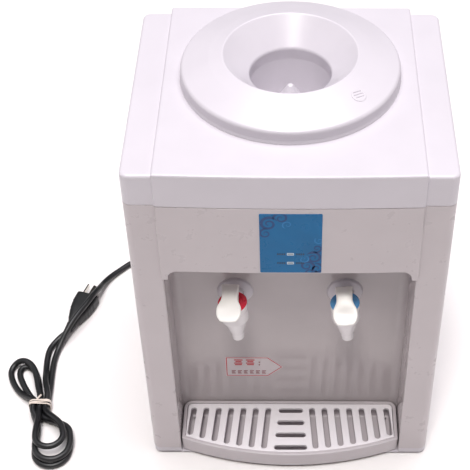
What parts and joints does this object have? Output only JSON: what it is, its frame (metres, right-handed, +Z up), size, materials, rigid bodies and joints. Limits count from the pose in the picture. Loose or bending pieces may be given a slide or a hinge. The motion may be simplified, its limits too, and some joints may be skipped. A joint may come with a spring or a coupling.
{
  "type": "countertop water dispenser",
  "caption": "Boxy white countertop water dispenser with a funnel bottle seat on top, hot and cold lever taps in a front bay, a curved slotted drip tray and a bundled mains cord.",
  "frame": {"origin": "on the table, under the middle of the body's bounding box, mains cord left out", "axes": "+Z up, the taps and the drip tray face -Y, +X to the right of someone facing the taps"},
  "size_m": [0.4805, 0.351, 0.4388],
  "materials": {
    "white_plastic": "satin moulded ABS",
    "inner_plastic": "satin moulded ABS",
    "painted_steel": "fine texture powder coat",
    "galvanised": "plated steel",
    "feet_rubber": "matt",
    "label": "printed film",
    "lens": "clear",
    "circuit": "solder resist",
    "paper": "printed paper",
    "lever_plastic": "polished",
    "hot_red": "polished",
    "cold_blue": "polished",
    "silicone": "matt",
    "stainless": "deep drawn",
    "foam": "closed cell foam",
    "aluminium": "extruded",
    "ceramic": "ceramic plates",
    "fan_black": "glass filled",
    "bakelite": "moulded",
    "switch_black": "polished",
    "rocker_red": "polished",
    "rocker_green": "polished",
    "cord_pvc": "satin PVC",
    "tie_paper": "paper twist tie",
    "pin_metal": "nickel plated",
    "spring_steel": "drawn wire"
  },
  "bodies": {
    "cabinet": {"base_pan": "white_plastic", "rubber_feet": "feet_rubber", "front_frame": "white_plastic", "side_panel_left": "painted_steel", "side_panel_right": "painted_steel", "back_panel": "galvanised", "back_screws": "pin_metal", "top_cover": "white_plastic", "front_fascia": "white_plastic", "bay_liner": "white_plastic", "label_plate": "label", "indicator_lenses": "lens", "indicator_board": "circuit", "notice_sticker": "paper", "seat_gasket": "silicone", "cold_tank": "stainless", "cold_tank_jacket": "foam", "cold_block": "aluminium", "peltier_module": "ceramic", "heat_sink": "aluminium", "fan_frame": "fan_black", "hot_tank": "stainless", "hot_tank_jacket": "foam", "heating_element": "stainless", "thermostats": "bakelite", "feed_hose": "silicone", "hot_hose": "silicone", "cold_hose": "silicone", "drain_tube": "silicone", "power_board": "circuit", "switch_bezels": "switch_black", "wall_rings": "white_plastic", "tap_nuts": "inner_plastic", "lever_pins": "pin_metal", "hot_tap_body": "white_plastic", "hot_bonnet": "hot_red", "hot_spring": "spring_steel", "cold_tap_body": "white_plastic", "cold_bonnet": "cold_blue", "cold_spring": "spring_steel", "cord_gland": "cord_pvc", "cord_lead": "cord_pvc", "cord_hank": "cord_pvc", "cord_tie": "tie_paper", "plug_lead": "cord_pvc", "plug_body": "cord_pvc", "plug_pins": "pin_metal"},
    "seat": {"bottle_seat": "white_plastic", "bottle_probe": "white_plastic", "air_filter_cap": "white_plastic"},
    "drip_tray": {"drip_tray": "white_plastic"},
    "drip_grid": {"drip_grid": "white_plastic"},
    "hot_lever": {"hot_lever": "lever_plastic"},
    "hot_stem": {"hot_stem": "inner_plastic"},
    "cold_lever": {"cold_lever": "lever_plastic"},
    "cold_stem": {"cold_stem": "inner_plastic"},
    "hot_rocker": {"hot_rocker": "rocker_red"},
    "cold_rocker": {"cold_rocker": "rocker_green"},
    "fan_rotor": {"fan_rotor": "fan_black"},
    "drain_cap": {"drain_cap": "white_plastic"}
  },
  "joints": [
    {"name": "seat_lift", "type": "slide", "parent": "cabinet", "child": "seat", "axis": [0, 0, 1], "range_m": [0, 0.06]},
    {"name": "tray_pull", "type": "slide", "parent": "cabinet", "child": "drip_tray", "axis": [0, -1, 0], "range_m": [0, 0.06]},
    {"name": "grid_lift", "type": "slide", "parent": "drip_tray", "child": "drip_grid", "axis": [0, 0, 1], "range_m": [0, 0.03]},
    {"name": "hot_lever_press", "type": "hinge", "parent": "cabinet", "child": "hot_lever", "pos_m": [-0.05847, -0.10047, 0.22707], "axis": [0.9927, -0.0872, 0.0834], "range_deg": [0, 18], "stiffness_Nm_per_rad": 0.4, "springref_deg": -11.46},
    {"name": "hot_stem_lift", "type": "slide", "parent": "cabinet", "child": "hot_stem", "axis": [-0.0837, 0, 0.9965], "range_m": [0, 0.002], "deforming": ["hot_spring"]},
    {"name": "cold_lever_press", "type": "hinge", "parent": "cabinet", "child": "cold_lever", "pos_m": [0.05439, -0.1005, 0.22413], "axis": [0.9965, 0, 0.0837], "range_deg": [0, 18], "stiffness_Nm_per_rad": 0.4, "springref_deg": -11.46},
    {"name": "cold_stem_lift", "type": "slide", "parent": "cabinet", "child": "cold_stem", "axis": [-0.0837, 0, 0.9965], "range_m": [0, 0.002], "deforming": ["cold_spring"]},
    {"name": "hot_switch", "type": "hinge", "parent": "cabinet", "child": "hot_rocker", "pos_m": [0.092, 0.1285, 0.33], "axis": [1, 0, 0], "range_deg": [0, 16]},
    {"name": "cold_switch", "type": "hinge", "parent": "cabinet", "child": "cold_rocker", "pos_m": [0.114, 0.1285, 0.33], "axis": [1, 0, 0], "range_deg": [0, 16]},
    {"name": "fan_spin", "type": "hinge", "parent": "cabinet", "child": "fan_rotor", "pos_m": [0, 0.1215, 0.3], "axis": [0, 1, 0], "continuous": true},
    {"name": "drain_pull", "type": "slide", "parent": "cabinet", "child": "drain_cap", "axis": [0, 1, 0], "range_m": [0, 0.015]}
  ],
  "couplings": [
    {"joint": "hot_stem_lift", "follows": "hot_lever_press", "m_per_rad": 0.006},
    {"joint": "cold_stem_lift", "follows": "cold_lever_press", "m_per_rad": 0.006}
  ]
}
